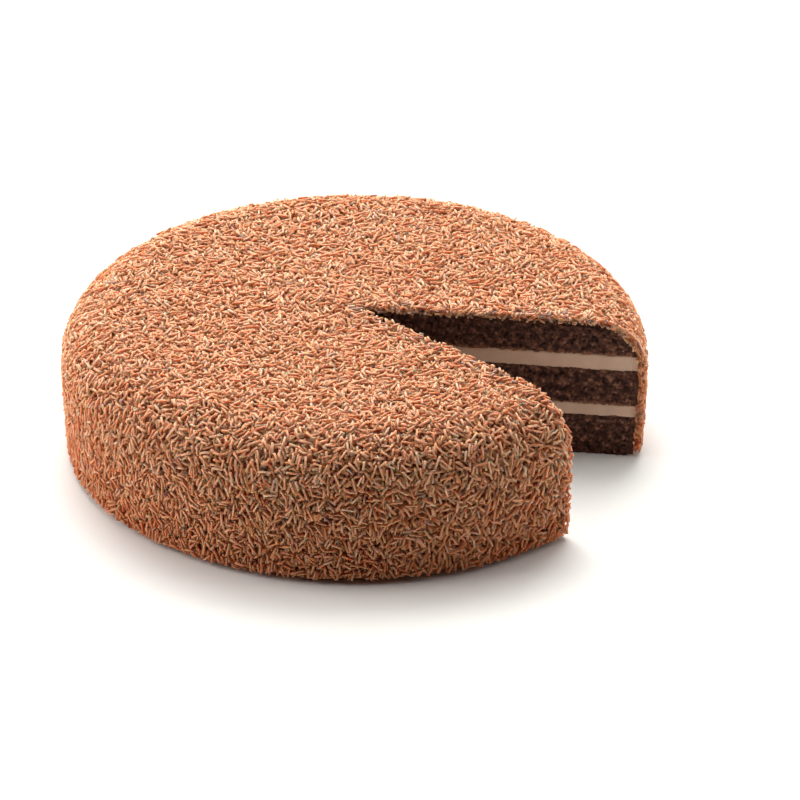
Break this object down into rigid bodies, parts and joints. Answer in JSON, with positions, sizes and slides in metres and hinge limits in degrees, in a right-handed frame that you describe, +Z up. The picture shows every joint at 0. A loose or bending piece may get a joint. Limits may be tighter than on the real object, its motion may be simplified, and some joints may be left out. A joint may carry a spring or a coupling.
{
  "type": "brigadeiro cake",
  "caption": "Round chocolate layer cake with a wedge cut out to show sponge and cream, its icing covered in chocolate sprinkles; a dessert to slice and serve.",
  "frame": {"origin": "centre of the cake's round base, on the surface it stands on", "axes": "+Z up through the middle of the cake; the missing wedge opens between 8 and 44 degrees clockwise from +X seen from above, so -Y is the side that the picture shows"},
  "size_m": [0.259, 0.2586, 0.0681],
  "materials": {
    "chocolate_sponge": "open dark crumb, dull and slightly moist",
    "cream_filling": "smooth milk chocolate cream, satin",
    "sprinkled_icing": "milk chocolate sprinkles on soft icing, satin"
  },
  "bodies": {
    "root": {"sponge_bottom": "chocolate_sponge", "cream_lower": "cream_filling", "sponge_middle": "chocolate_sponge", "cream_upper": "cream_filling", "sponge_top": "chocolate_sponge", "sprinkle_coat": "sprinkled_icing"}
  },
  "joints": []
}
